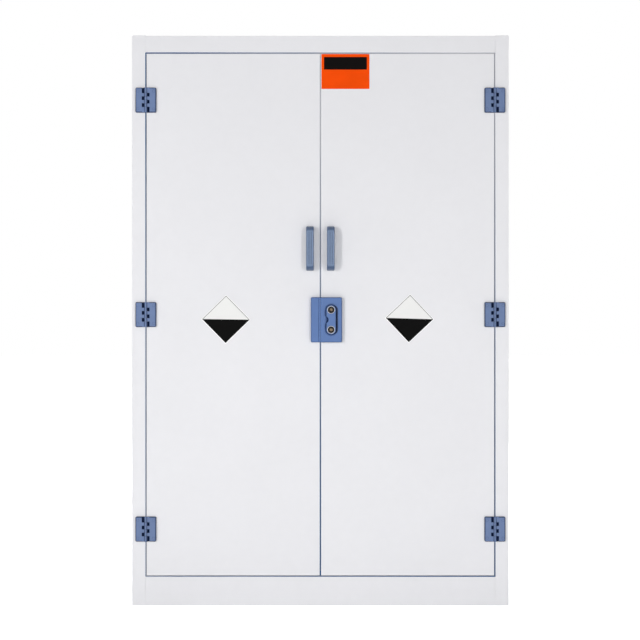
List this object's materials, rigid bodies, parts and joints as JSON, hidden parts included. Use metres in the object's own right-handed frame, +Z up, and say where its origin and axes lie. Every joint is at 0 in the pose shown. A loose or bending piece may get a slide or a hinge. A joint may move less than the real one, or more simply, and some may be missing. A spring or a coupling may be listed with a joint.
{
  "type": "reagent storage cabinet",
  "caption": "Tall white plastic reagent cabinet with two hinged doors, bow handles, a key lock at the seam and pull-out spill trays inside.",
  "frame": {"origin": "on the floor, under the middle of the carcass's width and depth", "axes": "+Z up, +X to the right of someone who faces the doors, the doors face -Y"},
  "size_m": [1.09, 0.498, 1.65],
  "materials": {
    "white_sheet": "satin white polypropylene sheet",
    "tray_sheet": "satin white polypropylene, formed",
    "blue_edge": "satin blue polypropylene bar",
    "hinge_plastic": "fine-grained blue-grey moulding",
    "handle_plastic": "fine-grained blue-grey moulding",
    "lock_plastic": "satin blue moulding",
    "steel": "plain stainless",
    "lock_rim": "bright ring",
    "lock_brass": "worn key face",
    "notice_film": "orange film with a plain dark panel",
    "diamond_film": "white film with a plain dark lower half"
  },
  "bodies": {
    "cabinet": {"side_panel_left": "white_sheet", "front_stile_left": "white_sheet", "side_panel_right": "white_sheet", "front_stile_right": "white_sheet", "back_panel": "white_sheet", "top_panel": "white_sheet", "floor_panel": "white_sheet", "top_rail": "white_sheet", "plinth_rail": "white_sheet", "base_bearers": "white_sheet", "stop_strips": "blue_edge", "tray_runners": "white_sheet", "left_lower_frame_leaf": "hinge_plastic", "left_middle_frame_leaf": "hinge_plastic", "left_upper_frame_leaf": "hinge_plastic", "right_lower_frame_leaf": "hinge_plastic", "right_middle_frame_leaf": "hinge_plastic", "right_upper_frame_leaf": "hinge_plastic", "hinge_pins": "hinge_plastic", "frame_hinge_screws": "steel", "flush_bolt_keepers": "white_sheet"},
    "left_door": {"left_door_panel": "white_sheet", "left_door_edge_bars": "blue_edge", "left_door_ribs": "white_sheet", "left_lower_door_leaf": "hinge_plastic", "left_middle_door_leaf": "hinge_plastic", "left_upper_door_leaf": "hinge_plastic", "left_door_hinge_screws": "steel", "left_handle": "handle_plastic", "left_handle_screws": "steel", "diamond_label_left": "diamond_film", "lock_keeper": "lock_plastic", "lock_keeper_screws": "steel", "flush_bolt_guides": "white_sheet"},
    "right_door": {"right_door_panel": "white_sheet", "right_door_edge_bars": "blue_edge", "right_door_ribs": "white_sheet", "right_lower_door_leaf": "hinge_plastic", "right_middle_door_leaf": "hinge_plastic", "right_upper_door_leaf": "hinge_plastic", "right_door_hinge_screws": "steel", "right_handle": "handle_plastic", "right_handle_screws": "steel", "diamond_label_right": "diamond_film", "lock_case": "lock_plastic", "lock_case_screws": "steel", "lock_faceplate": "lock_plastic", "lock_sleeves": "lock_rim", "notice_label": "notice_film"},
    "lock_plug_lower": {"lock_plug_lower": "lock_brass"},
    "lock_bolt_lower": {"lock_bolt_lower": "steel"},
    "lock_plug_upper": {"lock_plug_upper": "lock_brass"},
    "lock_bolt_upper": {"lock_bolt_upper": "steel"},
    "flush_bolt_top": {"flush_bolt_top": "steel"},
    "flush_bolt_bottom": {"flush_bolt_bottom": "steel"},
    "tray_lower": {"tray_lower": "tray_sheet"},
    "tray_middle": {"tray_middle": "tray_sheet"},
    "tray_upper": {"tray_upper": "tray_sheet"}
  },
  "joints": [
    {"name": "left_door_swing", "type": "hinge", "parent": "cabinet", "child": "left_door", "pos_m": [-0.5045, -0.2356, 0.842], "axis": [0, 0, -1], "range_deg": [0, 135]},
    {"name": "right_door_swing", "type": "hinge", "parent": "cabinet", "child": "right_door", "pos_m": [0.5045, -0.2356, 0.842], "axis": [0, 0, 1], "range_deg": [0, 135]},
    {"name": "lock_plug_lower_turn", "type": "hinge", "parent": "right_door", "child": "lock_plug_lower", "pos_m": [0.0308, -0.246, 0.79835], "axis": [0, -1, 0], "range_deg": [0, 90]},
    {"name": "lock_bolt_lower_slide", "type": "slide", "parent": "right_door", "child": "lock_bolt_lower", "axis": [-1, 0, 0], "range_m": [0, 0.01414]},
    {"name": "lock_plug_upper_turn", "type": "hinge", "parent": "right_door", "child": "lock_plug_upper", "pos_m": [0.0308, -0.246, 0.85565], "axis": [0, -1, 0], "range_deg": [0, 90]},
    {"name": "lock_bolt_upper_slide", "type": "slide", "parent": "right_door", "child": "lock_bolt_upper", "axis": [-1, 0, 0], "range_m": [0, 0.01414]},
    {"name": "flush_bolt_top_slide", "type": "slide", "parent": "left_door", "child": "flush_bolt_top", "axis": [0, 0, 1], "range_m": [0, 0.014]},
    {"name": "flush_bolt_bottom_slide", "type": "slide", "parent": "left_door", "child": "flush_bolt_bottom", "axis": [0, 0, -1], "range_m": [0, 0.014]},
    {"name": "tray_lower_slide", "type": "slide", "parent": "cabinet", "child": "tray_lower", "axis": [0, -1, 0], "range_m": [0, 0.036]},
    {"name": "tray_middle_slide", "type": "slide", "parent": "cabinet", "child": "tray_middle", "axis": [0, -1, 0], "range_m": [0, 0.036]},
    {"name": "tray_upper_slide", "type": "slide", "parent": "cabinet", "child": "tray_upper", "axis": [0, -1, 0], "range_m": [0, 0.036]}
  ],
  "couplings": [
    {"joint": "lock_plug_lower_turn", "follows": "lock_bolt_lower_slide", "rad_per_m": 111.07},
    {"joint": "lock_plug_upper_turn", "follows": "lock_bolt_upper_slide", "rad_per_m": 111.07}
  ]
}
